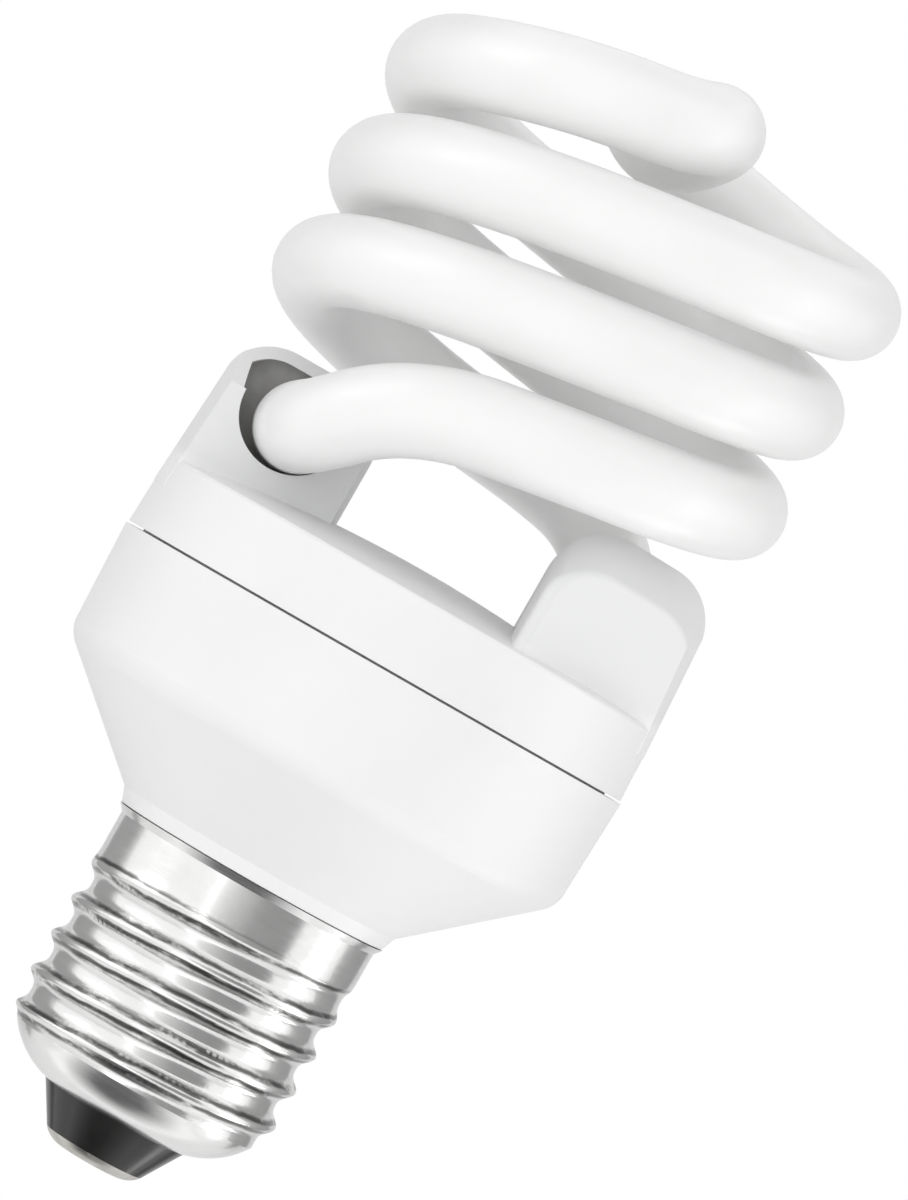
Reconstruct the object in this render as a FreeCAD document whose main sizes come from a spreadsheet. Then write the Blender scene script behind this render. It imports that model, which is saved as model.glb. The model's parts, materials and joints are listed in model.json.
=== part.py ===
"""Spiral energy saving lamp with an E27 screw cap.

Millimetres. The origin is the middle of the bottom contact's face and +Z runs up the lamp's
axis to the glass. The glass is one tube wound into a right-handed double helix. Its two ends
lie in two hoods of the white cover, which snaps onto the ballast housing. The housing's neck
is held in the rolled screw shell. The ballast hangs under a round board inside the housing.
"""
import FreeCAD, Part
import Sketcher
import math
import os

from FreeCAD import Placement, Rotation, Vector

doc = FreeCAD.newDocument("spiral_lamp")

# Driving dimensions
SIZES = (
    # screw cap
    ("contact_radius", 4.85),
    ("contact_flat_radius", 3.4),
    ("contact_height", 0.93),
    ("eyelet_radius", 1.5),
    ("eyelet_bore_radius", 0.6),
    ("eyelet_floor", 0.4),
    ("insulator_height", 3.76),
    ("insulator_waist_radius", 7.18),
    ("insulator_floor_depth", 3.3),
    ("glass_gap", 0.04),
    ("shell_sheet", 0.35),
    ("bowl_height", 3.5),
    ("bowl_bulge_radius", 8.0),
    ("thread_root_radius", 12.06),
    ("thread_depth", 1.02),
    ("thread_pitch", 3.629),
    ("thread_crest_height", 19.8),
    ("thread_length", 17.5),
    ("thread_fade", 1.5),
    ("thread_close", 1.2),
    ("thread_last_turn", 1.35),
    ("thread_run_out_turns", 0.75),
    ("thread_sharpness", 2.0),
    ("thread_step", 0.02),
    ("collar_step", 0.88),
    ("collar_length", 2.9),
    ("flare_reach", 0.56),
    ("flare_length", 0.7),
    # ballast housing
    ("seat_gap", 0.1),
    ("neck_inset", 0.1),
    ("spigot_length", 4.6),
    ("spigot_gap", 0.12),
    ("spigot_wall", 1.4),
    ("neck_flare_step", 0.52),
    ("neck_flare_height", 1.35),
    ("cone_top_inset", 0.96),
    ("cone_height", 8.9),
    ("wall_draft_inset", 0.39),
    ("shoulder_height", 1.75),
    ("shoulder_bulge_radius", 3.4),
    ("wall_top_radius", 25.45),
    ("wall_height", 9.85),
    ("housing_wall", 1.5),
    ("rib_count", 4),
    ("rib_thickness", 1.4),
    ("rib_depth", 3.0),
    ("rib_height", 8.4),
    ("board_depth", 4.45),
    ("bead_height", 0.7),
    ("bead_depth", 0.25),
    # cover
    ("parting_gap", 0.22),
    ("cover_step", 0.15),
    ("cover_draft_inset", 0.25),
    ("cover_height", 6.85),
    ("cover_edge_round", 0.35),
    ("dome_rise", 2.3),
    ("cover_wall", 1.4),
    ("lip_length", 2.75),
    ("lip_wall", 1.2),
    ("lip_gap", 0.2),
    ("cover_draft_deg", 3.45),
    # hoods
    ("hood_width", 15.7),
    ("hood_height", 13.45),
    ("hood_corner_radius", 5.2),
    ("hood_wall", 1.15),
    ("hood_mouth_offset", 8.0),
    ("hood_lean_deg", 45.0),
    ("hood_split_height", 8.4),
    ("hood_end_setback", 2.65),
    ("hood_end_angle_deg", 138.0),
    ("hood_end_drop", 3.8),
    ("hood_end_depth", 4.2),
    ("hood_end_inset", 0.55),
    ("hood_outer_spare", 0.06),
    ("hood_end_round", 0.8),
    ("hood_root_depth", 2.5),
    ("notch_setback", 8.45),
    ("notch_radius", 5.15),
    # discharge tube
    ("tube_diameter", 8.3),
    ("coil_radius", 21.8),
    ("coil_pitch", 20.4),
    ("coil_rise", 3.39),
    ("coil_step_deg", 30.0),
    ("coil_start_deg", 285.0),
    ("coil_steps", 15),
    ("tube_end_round", 1.6),
    ("cement_length", 5.5),
    ("cement_mouth_gap", 4.2),
    ("cement_floor", 0.9),
    # circuit board
    ("board_gap", 0.35),
    ("board_thickness", 1.6),
    ("pin_radius", 0.35),
    # choke
    ("choke_x", -9.0),
    ("choke_y", 0.0),
    ("choke_core_depth", 5.0),
    ("choke_core_length", 16.0),
    ("choke_core_height", 12.4),
    ("choke_yoke", 2.5),
    ("choke_leg", 4.0),
    ("choke_stand_off", 0.3),
    ("choke_bobbin_wall", 0.7),
    ("choke_flange", 0.8),
    ("choke_flange_reach", 3.2),
    ("choke_fit", 0.1),
    ("choke_winding_depth", 2.7),
    ("choke_pin_inset", 0.8),
    # smoothing capacitor
    ("smoothing_x", 4.3),
    ("smoothing_y", 0.0),
    ("smoothing_radius", 5.0),
    ("smoothing_length", 20.0),
    ("smoothing_stand_off", 1.2),
    ("smoothing_edge_round", 0.7),
    ("smoothing_groove_depth", 0.45),
    ("smoothing_groove_offset", 2.0),
    ("smoothing_lead_pitch", 5.0),
    # drive transformer
    ("transformer_x", 3.0),
    ("transformer_y", 14.0),
    ("ring_outer_radius", 4.75),
    ("ring_inner_radius", 2.5),
    ("ring_height", 4.0),
    ("ring_wire_layer", 0.55),
    ("ring_winding_span_deg", 62.0),
    ("ring_winding_count", 3),
    # small components
    ("lead_radius", 0.35),
    ("transistor_x", 13.2),
    ("transistor_y", 8.2),
    ("transistor_width", 4.6),
    ("transistor_depth", 3.6),
    ("transistor_height", 4.8),
    ("transistor_lead_length", 2.4),
    ("transistor_lead_pitch", 1.27),
    ("diode_radius", 1.3),
    ("diode_length", 5.0),
    ("diode_drop", 1.9),
    ("diode_lead_reach", 1.2),
    ("diode_x", -5.9),
    ("diode_y", -13.0),
    ("diode_column_pitch", 8.4),
    ("diode_row_pitch", 3.5),
    ("film_length", 7.5),
    ("film_width", 3.4),
    ("film_height", 6.6),
    ("film_edge_round", 0.6),
    ("film_stand_off", 0.3),
    ("resonant_x", -9.6),
    ("resonant_y", 13.4),
    ("coupling_x", 12.4),
    ("coupling_y", 0.0),
    ("fuse_x", 10.2),
    ("fuse_y", -14.6),
    ("fuse_radius", 1.25),
    ("fuse_length", 6.4),
    ("filter_inset", 4.95),
    ("filter_angle_deg", 218.5),
    ("filter_flange_radius", 3.0),
    ("filter_core_radius", 1.3),
    ("filter_height", 6.4),
    ("filter_flange", 0.9),
    ("filter_coil_radius", 2.6),
    ("thermistor_inset", 5.6),
    ("thermistor_y", -1.5),
    ("thermistor_radius", 2.7),
    ("thermistor_thickness", 2.2),
    ("diac_inset", 6.6),
    ("diac_y", 6.6),
    ("diac_radius", 0.95),
    ("diac_length", 3.6),
    # wiring
    ("post_side", 1.0),
    ("post_height", 6.6),
    ("wire_radius", 0.25),
    ("electrode_half_pitch", 1.6),
    ("wire_reach", 3.4),
    ("cap_lead_radius", 0.45),
    ("centre_lead_x", -1.8),
    ("centre_lead_y", 8.5),
    ("centre_lead_bend", 14.2),
    ("shell_lead_x", -3.5),
    ("shell_lead_y", -9.3),
    ("shell_lead_drop", 1.2),
    ("shell_lead_fall", 0.6),
    ("solder_gap", 0.1),
)

# The left lead-in of the tube's axis in its hood: outwards from the notch's middle, away, and up
# from the hood's split
LEAD_IN_HOOD = (
    (-0.1, 5.5, -1.21),
    (-0.4, -3.0, -0.66),
    (-0.8, -10.5, -0.36),
)
# On to the coil: outwards from the notch's middle, past the coil's radius, and up from its start
LEAD_IN_COIL = (
    (-2.3, -5.9, -6.9),
    (-6.2, -2.2, -3.45),
    (-12.1, 0.2, -1.4),
)
# From the end of the coil over the crown: across and away in coil radii, and up
CROWN = (
    (0.716, 0.734, 1.55),
    (0.339, 0.927, 3.35),
    (-0.028, 0.789, 4.55),
    (-0.138, 0.532, 5.25),
    (-0.078, 0.229, 5.55),
)

sheet = doc.addObject("Spreadsheet::Sheet", "sizes")
for row, (alias, value) in enumerate(SIZES, start=1):
    sheet.set("A%d" % row, alias)
    sheet.set("B%d" % row, str(value))
    sheet.setAlias("B%d" % row, alias)
doc.recompute()


class Size:
    """A length or angle with the expression that ties it to the sheet."""

    def __init__(self, value, text):
        self.value = value
        self.text = text

    def join(self, other, sign, value):
        text = other.text if isinstance(other, Size) else repr(other)
        return Size(value, "(%s %s %s)" % (self.text, sign, text))

    def __add__(self, other):
        return self.join(other, "+", self.value + plain(other))

    def __sub__(self, other):
        return self.join(other, "-", self.value - plain(other))

    def __mul__(self, other):
        return self.join(other, "*", self.value * plain(other))

    def __truediv__(self, other):
        return self.join(other, "/", self.value / plain(other))

    def __neg__(self):
        return Size(-self.value, "(-1 * %s)" % self.text)


def plain(size):
    return size.value if isinstance(size, Size) else size


def size(alias):
    return Size(float(sheet.get(alias)), "sizes." + alias)


def number(alias):
    return float(sheet.get(alias))


NOTHING = Size(0.0, "0")


def bind(item, prop, value):
    if isinstance(value, Size):
        item.setExpression(prop, value.text)
    else:
        setattr(item, prop, value)


# Building blocks
def new_body(name):
    return doc.addObject("PartDesign::Body", name)


def origin_plane(body, role):
    return next(plane for plane in body.Origin.OriginFeatures if plane.Role == role)


def outline(body, name, role, points, arcs=None):
    """A closed sketch through points of two sizes each; arcs maps a side to its radius.

    A positive radius bulges to the right of the side's direction, a negative one to the left.
    """
    arcs = arcs or {}
    drawing = body.newObject("Sketcher::SketchObject", name)
    drawing.AttachmentSupport = [(origin_plane(body, role), "")]
    drawing.MapMode = "FlatFace"
    corners = [Vector(plain(across), plain(up), 0) for across, up in points]
    count = len(corners)
    ends = []
    for side in range(count):
        first, last = corners[side], corners[(side + 1) % count]
        if side in arcs:
            radius = plain(arcs[side])
            half = (last - first) * 0.5
            rise = abs(radius) - math.sqrt(radius * radius - half.Length ** 2)
            right = Vector(half.y, -half.x, 0).normalize()
            middle = first + half + right * math.copysign(rise, radius)
            arc = Part.Arc(first, middle, last)
            edge = drawing.addGeometry(arc)
            begins = drawing.Geometry[edge].StartPoint.isEqual(first, 1e-6)
            ends.append((edge, 1, 2) if begins else (edge, 2, 1))
        else:
            edge = drawing.addGeometry(Part.LineSegment(first, last))
            ends.append((edge, 1, 2))
    for side in range(count):
        edge, _, finish = ends[side]
        following, start, _ = ends[(side + 1) % count]
        drawing.addConstraint(Sketcher.Constraint("Coincident", edge, finish, following, start))
    for side, (across, up) in enumerate(points):
        edge, start, _ = ends[side]
        for kind, place in (("DistanceX", across), ("DistanceY", up)):
            rule = drawing.addConstraint(Sketcher.Constraint(kind, -1, 1, edge, start, plain(place)))
            if isinstance(place, Size) and place is not NOTHING:
                drawing.setExpression("Constraints[%d]" % rule, place.text)
        if side in arcs:
            radius = arcs[side]
            width = -radius if plain(radius) < 0 else radius
            rule = drawing.addConstraint(Sketcher.Constraint("Radius", edge, plain(width)))
            drawing.setExpression("Constraints[%d]" % rule, width.text)
    return drawing


def revolved(body, drawing, name):
    turn = body.newObject("PartDesign::Revolution", name)
    turn.Profile = drawing
    turn.ReferenceAxis = (drawing, ["V_Axis"])
    turn.Angle = 360
    body.Tip = turn
    return turn


def placed(item, across=NOTHING, away=NOTHING, up=NOTHING, turn=None):
    """Put a primitive at three sizes, turned first if a rotation is given."""
    spin = turn or Rotation()
    item.Placement = Placement(Vector(plain(across), plain(away), plain(up)), spin)
    for name, value in (("x", across), ("y", away), ("z", up)):
        if isinstance(value, Size):
            item.setExpression("Placement.Base." + name, value.text)
    return item


def cylinder(name, radius, height):
    item = doc.addObject("Part::Cylinder", name)
    bind(item, "Radius", radius)
    bind(item, "Height", height)
    return item


def block(name, length, width, height):
    item = doc.addObject("Part::Box", name)
    bind(item, "Length", length)
    bind(item, "Width", width)
    bind(item, "Height", height)
    return item


def centred_block(name, length, width, height, across, away, up):
    item = block(name, length, width, height)
    return placed(item, across - length / 2, away - width / 2, up)


def fused(name, items):
    item = doc.addObject("Part::MultiFuse", name)
    item.Shapes = items
    return item


def removed(name, base, tool):
    item = doc.addObject("Part::Cut", name)
    item.Base = base
    item.Tool = tool
    return item


def from_shape(name, shape):
    item = doc.addObject("Part::Feature", name)
    item.Shape = shape
    return item


def rounded_path(points):
    """Straight runs joined by tangent arcs, each as large as its two runs allow."""
    edges = []
    here = points[0]
    for before, corner, after in zip(points, points[1:], points[2:]):
        back = before - corner
        ahead = after - corner
        reach = min(back.Length, ahead.Length) / 2
        back.normalize()
        ahead.normalize()
        turn = math.pi - back.getAngle(ahead)
        radius = reach / math.tan(turn / 2)
        inward = (back + ahead).normalize()
        start = corner + back * reach
        finish = corner + ahead * reach
        middle = corner + inward * (radius / math.cos(turn / 2) - radius)
        if start.distanceToPoint(here) > 1e-6:
            edges.append(Part.LineSegment(here, start).toShape())
        edges.append(Part.Arc(start, middle, finish).toShape())
        here = finish
    edges.append(Part.LineSegment(here, points[-1]).toShape())
    return Part.Wire(edges)


def swept(name, points, radius):
    """A round bar of one radius along the rounded path through the points."""
    path = from_shape(name + "_path", rounded_path(points))
    ring = doc.addObject("Part::Circle", name + "_section")
    bind(ring, "Radius", radius)
    along = (points[1] - points[0]).normalize()
    ring.Placement = Placement(points[0], Rotation(Vector(0, 0, 1), along))
    bar = doc.addObject("Part::Sweep", name)
    bar.Sections = [ring]
    bar.Spine = (path, [])
    bar.Solid = True
    bar.Frenet = False
    return bar


def half_turn(shape):
    copy = shape.copy()
    copy.rotate(Vector(0, 0, 0), Vector(0, 0, 1), 180)
    return copy


finished = []


def keep(item, label):
    item.Label = label
    finished.append(item)
    return item


# Heights that several pieces share
insulator_base = size("contact_height")
shell_base = insulator_base + size("insulator_height")
thread_base = shell_base + size("bowl_height")
thread_top = thread_base + size("thread_length")
collar_top = thread_top + size("collar_length")
shell_top = collar_top + size("flare_length")
neck_base = shell_top + size("seat_gap")
cone_base = neck_base + size("neck_flare_height")
cone_top = cone_base + size("cone_height")
shoulder_top = cone_top + size("shoulder_height")
housing_top = shoulder_top + size("wall_height")
cover_base = housing_top + size("parting_gap")
cover_rim = cover_base + size("cover_height")
dome_top = cover_rim + size("dome_rise")
board_base = housing_top - size("board_depth")
board_top = board_base + size("board_thickness")
split_height = cover_rim + size("hood_split_height")
hood_top = cover_rim + size("hood_height")
coil_start = hood_top + size("coil_rise")

# Radii and offsets that several pieces share
crest_radius = size("thread_root_radius") + size("thread_depth")
collar_radius = size("thread_root_radius") + size("collar_step")
flare_radius = collar_radius + size("flare_reach")
neck_radius = flare_radius - size("neck_inset")
neck_flare_radius = neck_radius + size("neck_flare_step")
wall_inner = size("wall_top_radius") - size("housing_wall")
shoulder_radius = size("wall_top_radius") - size("wall_draft_inset")
cone_top_radius = shoulder_radius - size("cone_top_inset")
cover_radius = size("wall_top_radius") - size("cover_step")
rim_radius = cover_radius - size("cover_draft_inset")
lip_outer = wall_inner - size("lip_gap")
lip_inner = lip_outer - size("lip_wall")
board_edge = wall_inner - size("board_gap")
hood_inner = rim_radius - size("hood_width")
hood_end = rim_radius - size("hood_end_setback")
notch_offset = rim_radius - size("notch_setback")


# Screw cap
def bowl_reach(height):
    """The inside radius of the shell's bowl at a height."""
    low = Vector(number("insulator_waist_radius"), shell_base.value + number("shell_sheet"), 0)
    high = Vector(number("thread_root_radius") - number("shell_sheet"), thread_base.value, 0)
    radius = number("bowl_bulge_radius")
    half = (high - low) * 0.5
    inward = Vector(-half.y, half.x, 0).normalize()
    centre = low + half + inward * math.sqrt(radius ** 2 - half.Length ** 2)
    return centre.x + math.sqrt(radius ** 2 - (height - centre.y) ** 2)


def centre_contact():
    body = new_body("contact_body")
    radius, flat = size("contact_radius"), size("contact_flat_radius")
    height = size("contact_height")
    stem, bore = size("eyelet_radius"), size("eyelet_bore_radius")
    stem_top = shell_base + size("insulator_floor_depth") + size("eyelet_floor")
    points = [
        (NOTHING, NOTHING),
        (flat, NOTHING),
        (radius, height),
        (stem, height),
        (stem, stem_top),
        (bore, stem_top),
        (bore, size("eyelet_floor")),
        (NOTHING, size("eyelet_floor")),
    ]
    drawing = outline(body, "contact_outline", "XZ_Plane", points, {1: radius - flat + height})
    revolved(body, drawing, "contact_turned")
    return keep(body, "centre_contact")


def cap_insulator():
    body = new_body("insulator_body")
    waist = size("insulator_waist_radius")
    gap = size("glass_gap")
    floor = shell_base + size("insulator_floor_depth")
    bowl = bowl_reach(floor.value - gap.value) - gap.value
    points = [
        (size("eyelet_radius") + gap, insulator_base),
        (size("contact_radius"), insulator_base),
        (waist - gap, shell_base),
        (waist - gap, shell_base + size("shell_sheet") + gap),
        (bowl, floor),
        (size("eyelet_radius") + gap, floor),
    ]
    drawing = outline(body, "insulator_outline", "XZ_Plane", points, {3: size("bowl_bulge_radius")})
    revolved(body, drawing, "insulator_turned")
    return keep(body, "cap_insulator")


def thread_plug(inset):
    """A solid whose side is the rolled thread: a wave that climbs a pitch a turn.

    It fades in above the bowl. At the top its last groove grows shallow along its own length and
    ends in the collar, as a rolled thread does, and both ends of the side are round.
    """
    columns, per_pitch = 36, 12
    pitch = number("thread_pitch")
    low, high = thread_base.value, thread_top.value
    rows = int(round((high - low) / pitch * per_pitch)) + 1
    root, crest = number("thread_root_radius"), crest_radius.value
    collar = collar_radius.value - number("thread_step")
    fade, close = number("thread_fade"), number("thread_close")
    last, run_out = number("thread_last_turn"), number("thread_run_out_turns")
    sharpness = number("thread_sharpness")
    # a cubic sheet stays inside its poles by a known share of each wave
    ring_share = (2 + math.cos(2 * math.pi / columns)) / 3
    wave_share = (2 + math.cos(2 * math.pi / per_pitch)) / 3

    def ease(value):
        clipped = min(1.0, max(0.0, value))
        return clipped * clipped * (3 - 2 * clipped)

    def radius(height, turn):
        phase = (height - number("thread_crest_height")) / pitch - (turn - 0.5)
        wave = (0.5 + 0.5 * math.cos(2 * math.pi * phase)) ** sharpness
        along_groove = math.floor(phase) + turn
        grooved = ease((last - along_groove) / run_out) * ease((high - height) / close)
        crested = ease((height - low) / fade) * ease((high - height) / close)
        grown = root + (crest - root) * wave / wave_share * crested
        filled = collar + (crest - collar) * wave / wave_share * crested
        return filled + (grown - filled) * grooved - inset

    poles = []
    for column in range(columns):
        turn = (column - 1) / columns
        angle = 2 * math.pi * turn
        line = []
        for row in range(rows):
            height = low + (high - low) * row / (rows - 1)
            reach = radius(height, turn) / ring_share
            line.append(Vector(reach * math.cos(angle), reach * math.sin(angle), height))
        poles.append(line)
    across = [1] * (columns + 1)
    along = [4] + [1] * (rows - 4) + [4]
    surface = Part.BSplineSurface()
    surface.buildFromPolesMultsKnots(
        poles, across, along, list(range(len(across))), list(range(len(along))), True, False, 3, 3
    )
    side = surface.toShape().Faces[0]
    rims = [edge for edge in side.Edges if edge.isClosed()]
    skin = Part.makeCompound([side] + [Part.Face(Part.Wire([rim])) for rim in rims])
    skin.sewShape(0.001)
    solid = Part.Solid(skin.Shells[0])
    if solid.Volume < 0:
        solid.reverse()
    return solid


def shell_form(name, inset):
    """The shell's outside, or its inside if inset: bowl, a core for the thread, collar and flare."""
    body = new_body(name)
    sheet_edge = size("shell_sheet") * inset
    waist = size("insulator_waist_radius")
    root = size("thread_root_radius") + size("thread_step") - sheet_edge
    core = root - size("shell_sheet") * 3
    collar = collar_radius - sheet_edge
    flare = flare_radius - sheet_edge
    points = [
        (NOTHING, shell_base - size("glass_gap") * inset),
        (waist, shell_base - size("glass_gap") * inset),
        (waist, shell_base + sheet_edge),
        (root, thread_base),
        (core, thread_base),
        (core, thread_top),
        (collar, thread_top),
        (collar, collar_top),
        (flare, shell_top),
        (flare, shell_top + size("glass_gap") * inset),
        (NOTHING, shell_top + size("glass_gap") * inset),
    ]
    if not inset:
        points = points[:2] + points[3:9] + points[10:]
    drawing = outline(body, name + "_outline", "XZ_Plane", points, {1 + inset: size("bowl_bulge_radius")})
    revolved(body, drawing, name + "_turned")
    plug = from_shape(name + "_thread", thread_plug(sheet_edge.value))
    return fused(name + "_whole", [body, plug])


def screw_shell():
    """Rolled from one sheet: bowl, thread, plain collar and flared edge of one thickness."""
    outside = shell_form("shell_outside", 0)
    inside = shell_form("shell_inside", 1)
    return keep(removed("shell_rolled", outside, inside), "screw_shell")


# Ballast housing
def ballast_housing():
    body = new_body("housing_body")
    wall = size("housing_wall")
    spigot = collar_radius - size("shell_sheet") - size("spigot_gap")
    bore = spigot - size("spigot_wall")
    spigot_base = neck_base - size("spigot_length")
    run = cone_top_radius - neck_flare_radius
    rise = size("cone_height")
    slant = Size(
        math.hypot(run.value, rise.value) / rise.value,
        "(sqrt(%s * %s + %s * %s) / %s)" % (run.text, run.text, rise.text, rise.text, rise.text),
    )
    shift = wall * slant
    neck_inner = cone_base + (bore - neck_flare_radius + shift) * rise / run
    inside = shoulder_radius - wall
    cone_inner_top = cone_base + (inside - neck_flare_radius + shift) * rise / run
    bead = housing_top - size("lip_length") / 2
    points = [
        (bore, spigot_base),
        (spigot, spigot_base),
        (spigot, neck_base),
        (neck_radius, neck_base),
        (neck_flare_radius, cone_base),
        (cone_top_radius, cone_top),
        (shoulder_radius, shoulder_top),
        (size("wall_top_radius"), housing_top),
        (wall_inner, housing_top),
        (wall_inner, bead + size("bead_height")),
        (wall_inner + size("bead_depth"), bead),
        (wall_inner, bead - size("bead_height")),
        (inside, cone_inner_top + size("shoulder_height") / 2),
        (inside - size("shoulder_height") / 2, cone_inner_top - size("shoulder_height") / 2 * rise / run),
        (bore, neck_inner),
    ]
    arcs = {5: size("shoulder_bulge_radius")}
    drawing = outline(body, "housing_outline", "XZ_Plane", points, arcs)
    revolved(body, drawing, "housing_turned")
    # ribs that carry the board
    rib_top = board_base
    rib_base = rib_top - size("rib_height")
    rib_inner = wall_inner - size("rib_depth")
    sunk = wall_inner + wall / 3
    rib_points = [
        (rib_inner, rib_base),
        (rib_inner, rib_top),
        (sunk, rib_top),
        (sunk, rib_base + size("rib_depth")),
    ]
    rib_drawing = outline(body, "rib_outline", "XZ_Plane", rib_points)
    rib = body.newObject("PartDesign::Pad", "rib")
    rib.Profile = rib_drawing
    rib.Midplane = True
    bind(rib, "Length", size("rib_thickness"))
    body.Tip = rib
    doc.recompute()
    ribs = body.newObject("PartDesign::PolarPattern", "ribs")
    ribs.Originals = [rib]
    ribs.Axis = (drawing, ["V_Axis"])
    ribs.Angle = 360
    ribs.setExpression("Occurrences", "sizes.rib_count")
    body.Tip = ribs
    return keep(body, "ballast_housing")


# Cover with its two hoods
def hood_arch(inset, across_inset, top_drop, plane):
    """The hood's arch as seen from the front, laid onto a vertical plane.

    The plane is given by its distance from the axis and the direction of its normal.
    """
    distance, angle = plane
    fall = math.tan(math.radians(number("cover_draft_deg")))
    inner = -(hood_inner.value + inset + across_inset)
    base = cover_rim.value - number("hood_root_depth") - inset
    top = hood_top.value - inset - top_drop
    corner = number("hood_corner_radius") - inset
    wall_line = rim_radius.value + number("hood_outer_spare") - inset
    outer = (top - corner - cover_rim.value) * fall - wall_line
    lower_outer = Vector((base - cover_rim.value) * fall - wall_line, 0, base)
    upper_outer = Vector(outer, 0, top - corner)
    top_outer = Vector(outer + corner, 0, top)
    top_inner = Vector(inner - corner, 0, top)
    upper_inner = Vector(inner, 0, top - corner)
    lower_inner = Vector(inner, 0, base)
    lean = corner * (1 - math.sqrt(0.5))
    arch = Part.Wire(
        [
            Part.LineSegment(lower_outer, upper_outer).toShape(),
            Part.Arc(upper_outer, Vector(outer + lean, 0, top - lean), top_outer).toShape(),
            Part.LineSegment(top_outer, top_inner).toShape(),
            Part.Arc(top_inner, Vector(inner - lean, 0, top - lean), upper_inner).toShape(),
            Part.LineSegment(upper_inner, lower_inner).toShape(),
            Part.LineSegment(lower_inner, lower_outer).toShape(),
        ]
    )
    normal = Vector(math.cos(math.radians(angle)), math.sin(math.radians(angle)), 0)
    lay = FreeCAD.Matrix()
    lay.A21 = -normal.x / normal.y
    lay.A24 = distance / normal.y
    return arch.transformGeometry(lay)


def hood_form(inset, mouth):
    """One hood from its mouth to its flat far end, inset all round for the hollow."""
    end = hood_end.value - inset
    angle = number("hood_end_angle_deg")
    depth = number("hood_end_depth")
    sections = [
        hood_arch(inset, 0.0, 0.0, (-mouth, 90.0)),
        hood_arch(inset, 0.0, 0.0, (end - depth, angle)),
        hood_arch(inset, number("hood_end_inset"), number("hood_end_drop"), (end, angle)),
    ]
    return Part.makeLoft(sections, True, True)


def drafted_core(inset):
    """The cover's outer wall carried up past the hoods, for trimming them."""
    low, high = cover_base.value, hood_top.value + 5
    fall = math.tan(math.radians(number("cover_draft_deg")))
    rim = rim_radius.value - inset
    low_radius = rim + (cover_rim.value - low) * fall
    high_radius = rim - (high - cover_rim.value) * fall
    return Part.makeCone(low_radius, high_radius, high - low, Vector(0, 0, low))


def above_split(mouth):
    """What the mould leaves open over the split line: the space in front of a leaning plane."""
    lean = math.radians(number("hood_lean_deg"))
    rise = 2 * number("hood_height")
    low = split_height.value
    wedge = Part.makePolygon(
        [
            Vector(0, -mouth, low),
            Vector(0, -mouth + rise * math.tan(lean), low + rise),
            Vector(0, -mouth - rise, low + rise),
            Vector(0, -mouth - rise, low),
            Vector(0, -mouth, low),
        ]
    )
    width = 2 * cover_radius.value
    return Part.Face(wedge).extrude(Vector(-width, 0, 0))


def hood_outside():
    mouth = number("hood_mouth_offset")
    blank = hood_form(0.0, mouth)
    flat_end = max(blank.Faces, key=lambda face: face.CenterOfMass.y)
    rims = [edge for edge in flat_end.Edges if edge.BoundBox.ZMax > cover_rim.value]
    blank = blank.makeFillet(number("hood_end_round"), rims)
    return blank.common(drafted_core(0.0)).cut(above_split(mouth))


def hood_hollow():
    wall = number("hood_wall")
    mouth = number("hood_mouth_offset")
    inner = hood_form(wall, mouth - wall).common(drafted_core(wall))
    open_part = hood_form(wall, mouth + wall).common(drafted_core(wall))
    low = split_height.value
    span = 2 * cover_radius.value
    upper_room = Part.makeBox(2 * span, span, span, Vector(-span, -mouth - 2 * wall, low))
    return inner.fuse(open_part.common(upper_room))


def tube_cover():
    body = new_body("cover_body")
    wall = size("cover_wall")
    edge = size("cover_edge_round")
    lip_base = housing_top - size("lip_length")
    bead = housing_top - size("lip_length") / 2
    dome_edge = rim_radius - edge
    dome_radius = Size(
        (dome_edge.value ** 2 + size("dome_rise").value ** 2) / (2 * size("dome_rise").value),
        "((%s * %s + %s * %s) / (2 * %s))"
        % (dome_edge.text, dome_edge.text, "sizes.dome_rise", "sizes.dome_rise", "sizes.dome_rise"),
    )
    points = [
        (NOTHING, lip_base),
        (lip_outer, lip_base),
        (lip_outer, bead - size("bead_height")),
        (lip_outer + size("bead_depth"), bead),
        (lip_outer, bead + size("bead_height")),
        (lip_outer, cover_base),
        (cover_radius, cover_base),
        (rim_radius, cover_rim - edge),
        (dome_edge, cover_rim),
        (NOTHING, dome_top),
    ]
    drawing = outline(body, "cover_outline", "XZ_Plane", points, {7: edge, 8: dome_radius})
    revolved(body, drawing, "cover_turned")

    core = new_body("cover_core_body")
    ceiling = cover_rim - wall
    core_points = [
        (NOTHING, lip_base - wall),
        (lip_inner, lip_base - wall),
        (lip_inner, ceiling - wall),
        (dome_edge - wall * 2, ceiling),
        (NOTHING, dome_top - wall),
    ]
    core_drawing = outline(core, "core_outline", "XZ_Plane", core_points)
    revolved(core, core_drawing, "core_turned")

    hood = hood_outside()
    hollow = hood_hollow()
    hoods = [from_shape("left_hood", hood), from_shape("right_hood", half_turn(hood))]
    hollows = [from_shape("left_hollow", hollow), from_shape("right_hollow", half_turn(hollow))]
    notches = []
    for side, away in ((-1, "left"), (1, "right")):
        notch = cylinder(away + "_notch", size("notch_radius"), size("hood_wall") * 3)
        notch.Angle = 180
        # the half cylinder lies along Y with its round side down
        lie = Rotation(Vector(0, 0, 1), 180) if side > 0 else Rotation()
        spin = lie.multiply(Rotation(Vector(1, 0, 0), 90)).multiply(Rotation(Vector(0, 0, 1), 180))
        start = (size("hood_wall") - size("hood_mouth_offset") + size("hood_wall")) * -side
        placed(notch, notch_offset * side, start, split_height, spin)
        notches.append(notch)
    outside = fused("cover_outside", [body] + hoods)
    inside = fused("cover_inside", [core] + hollows + notches)
    return keep(removed("cover_moulding", outside, inside), "tube_cover")


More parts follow.
